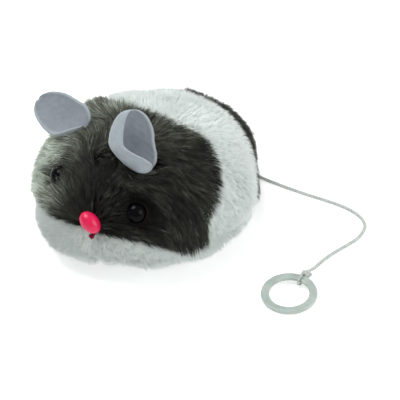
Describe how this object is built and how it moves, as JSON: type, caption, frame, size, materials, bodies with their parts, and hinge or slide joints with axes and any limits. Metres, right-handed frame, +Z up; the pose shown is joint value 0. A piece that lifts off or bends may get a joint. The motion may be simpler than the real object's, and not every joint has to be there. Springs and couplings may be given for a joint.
{
  "type": "pull-cord clockwork plush mouse",
  "caption": "Plush toy mouse with felt ears and bead eyes; a ring on a cord winds the spring motor inside, whose off-centre weight makes it wriggle along the floor.",
  "frame": {"origin": "on the floor under the middle of the plush body's length and width", "axes": "+Z up, -Y towards the nose, +X towards the mouse's left side, where the cord lies"},
  "size_m": [0.0977, 0.0829, 0.0489],
  "materials": {
    "brown_fur": "cut-pile plush, dark brown with grey-green lights",
    "white_fur": "short cut-pile plush, off-white",
    "ear_felt": "grey pressed felt",
    "eye_black": "polished",
    "nose_pink": "polished",
    "thread_red": "twisted sewing thread",
    "fibre_fill": "loose polyester fibre",
    "washer_white": "moulded",
    "case_plastic": "moulded, fine grain",
    "gear_plastic": "moulded, natural",
    "drum_plastic": "moulded",
    "steel": "drawn and zinc plated",
    "spring_steel": "blued strip",
    "cord": "braided, pale grey",
    "ring_plastic": "moulded, slightly cloudy"
  },
  "bodies": {
    "mouse_body": {"head_pelt": "brown_fur", "band_pelt": "white_fur", "rump_pelt": "brown_fur", "belly_pelt": "white_fur", "eye_left": "eye_black", "eye_washer_left": "washer_white", "eye_right": "eye_black", "eye_washer_right": "washer_white", "ear_left": "ear_felt", "ear_right": "ear_felt", "nose_bead": "nose_pink", "nose_thread": "thread_red", "stuffing_front": "fibre_fill", "stuffing_rear": "fibre_fill", "case_base": "case_plastic", "case_cover": "case_plastic", "case_screw_1": "steel", "case_screw_2": "steel", "case_screw_3": "steel", "cord_guide": "gear_plastic", "drum_shaft": "steel", "weight_axle": "steel", "idler_axle": "steel", "mainspring": "spring_steel"},
    "drum": {"cord_drum": "drum_plastic", "cord_wraps": "cord"},
    "idler": {"idler_gear": "gear_plastic"},
    "weight": {"weight_pinion": "gear_plastic", "eccentric_weight": "steel"},
    "tail": {"pull_cord": "cord", "ring_knot": "cord"},
    "ring": {"pull_ring": "ring_plastic"}
  },
  "joints": [
    {"name": "drum_spin", "type": "hinge", "parent": "mouse_body", "child": "drum", "pos_m": [-0.0022, 0.009, 0.0118], "axis": [0, 0, 1], "range_deg": [0, 1507]},
    {"name": "cord_pull", "type": "slide", "parent": "mouse_body", "child": "tail", "axis": [0, 1, 0], "range_m": [0, 0.25]},
    {"name": "idler_spin", "type": "hinge", "parent": "mouse_body", "child": "idler", "pos_m": [0.00557, -0.00589, 0.0175], "axis": [0, 0, 1], "range_deg": [-5526, 0]},
    {"name": "weight_spin", "type": "hinge", "parent": "mouse_body", "child": "weight", "pos_m": [-0.0022, -0.0125, 0.0118], "axis": [0, 0, 1], "range_deg": [0, 13262]},
    {"name": "ring_swing", "type": "hinge", "parent": "tail", "child": "ring", "pos_m": [0.057, -0.0065, 0.0022], "axis": [-1, 0, 0], "range_deg": [0, 105]}
  ],
  "couplings": [
    {"joint": "cord_pull", "follows": "drum_spin", "m_per_rad": 0.0095},
    {"joint": "idler_spin", "follows": "drum_spin", "ratio": -3.6667},
    {"joint": "weight_spin", "follows": "drum_spin", "ratio": 8.8}
  ]
}
